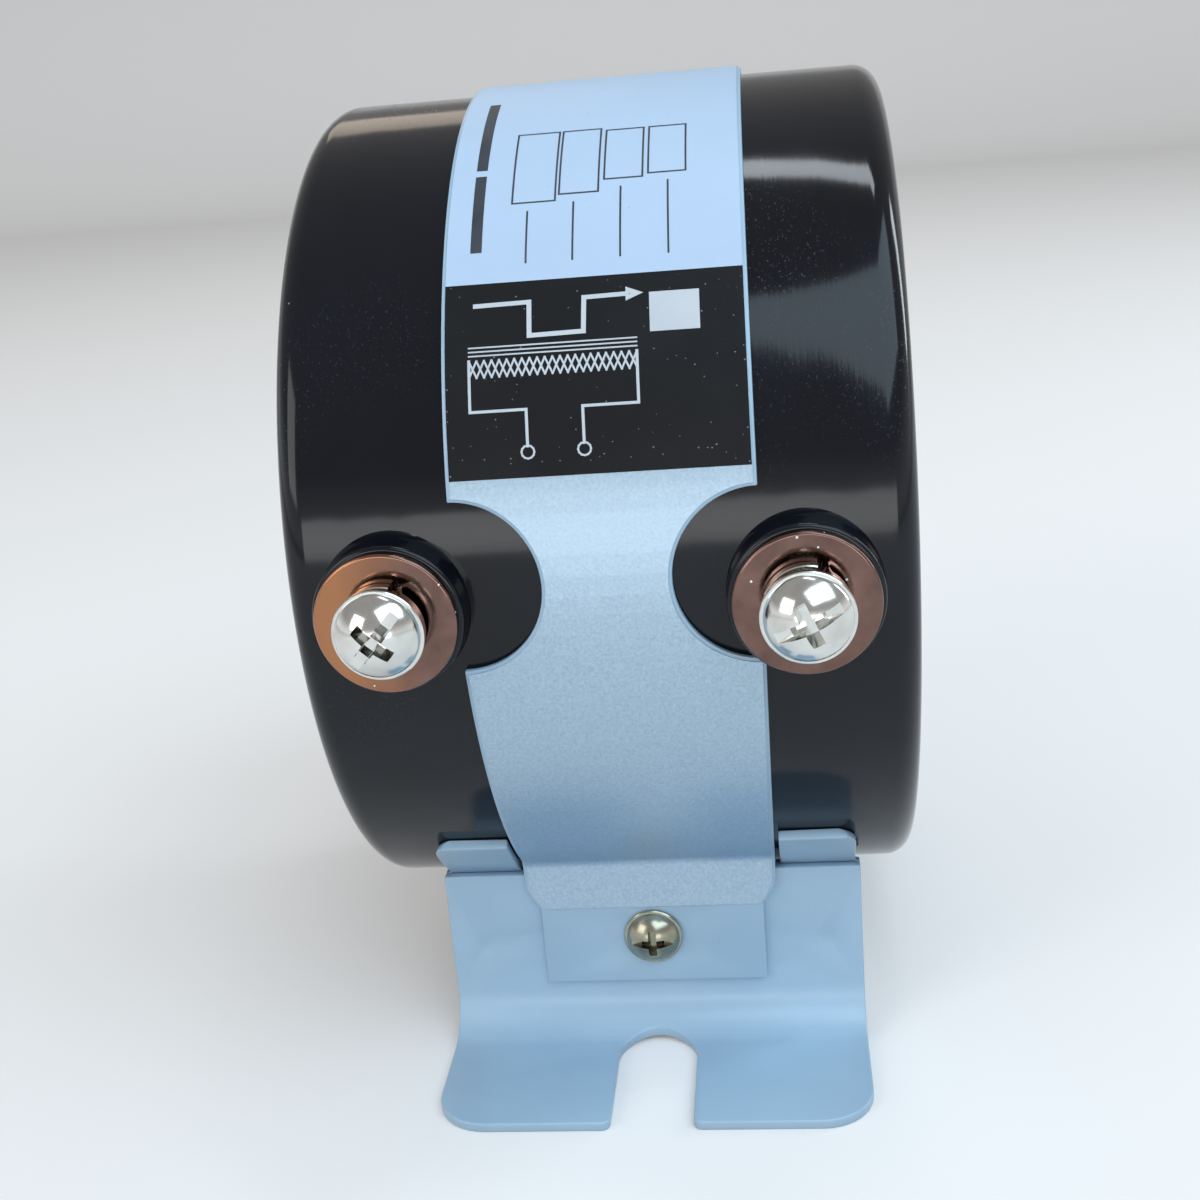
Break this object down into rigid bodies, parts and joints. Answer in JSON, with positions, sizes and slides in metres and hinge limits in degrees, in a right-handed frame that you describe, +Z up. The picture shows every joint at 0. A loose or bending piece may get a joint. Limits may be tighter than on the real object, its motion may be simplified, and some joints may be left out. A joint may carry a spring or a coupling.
{
  "type": "current transformer",
  "caption": "Window-type current transformer: a black ring case with two screw terminals, held by a printed metal strap on a bent sheet foot bracket with open mounting slots",
  "frame": {"origin": "centre of the window, on its axis and at the middle of the case's width", "axes": "+X along the window's axis; the screw terminals face -Y; +Z up, away from the mounting feet"},
  "size_m": [0.0664, 0.114, 0.1145],
  "materials": {
    "case_plastic": "glossy black moulded thermoset",
    "cover_plastic": "satin black",
    "core_steel": "wound electrical steel strip",
    "pressboard": "insulating board and sleeving",
    "enamelled_copper": "enamelled copper wire",
    "winding_tape": "insulating tape",
    "foam_pad": "soft spacer",
    "lead_insulation": "insulated lead wire",
    "insert_brass": "turned brass",
    "plated_washer": "polished nickel plating",
    "zinc_fastener": "bright zinc plating",
    "strap_paint": "pale blue-grey paint",
    "nameplate_foil": "printed aluminium foil label",
    "bracket_paint": "semi-gloss pale blue-grey paint"
  },
  "bodies": {
    "root": {"case_shell": "case_plastic", "end_cover": "cover_plastic", "core": "core_steel", "core_inner_sleeve": "pressboard", "core_outer_sleeve": "pressboard", "core_end_ring_left": "pressboard", "core_end_ring_right": "pressboard", "secondary_winding": "enamelled_copper", "winding_tape": "winding_tape", "pad_left": "foam_pad", "pad_right": "foam_pad", "lead_left": "lead_insulation", "lead_right": "lead_insulation", "insert_left": "insert_brass", "insert_right": "insert_brass", "flat_washer_left": "plated_washer", "flat_washer_right": "plated_washer", "spring_washer_left": "zinc_fastener", "spring_washer_right": "zinc_fastener", "terminal_screw_left": "zinc_fastener", "terminal_screw_right": "zinc_fastener", "strap": "strap_paint", "nameplate": "nameplate_foil", "cradle": "bracket_paint", "foot_front": "bracket_paint", "foot_rear": "bracket_paint", "strap_screw_front": "zinc_fastener", "strap_screw_rear": "zinc_fastener", "strap_nut_front": "zinc_fastener", "strap_nut_rear": "zinc_fastener"}
  },
  "joints": []
}
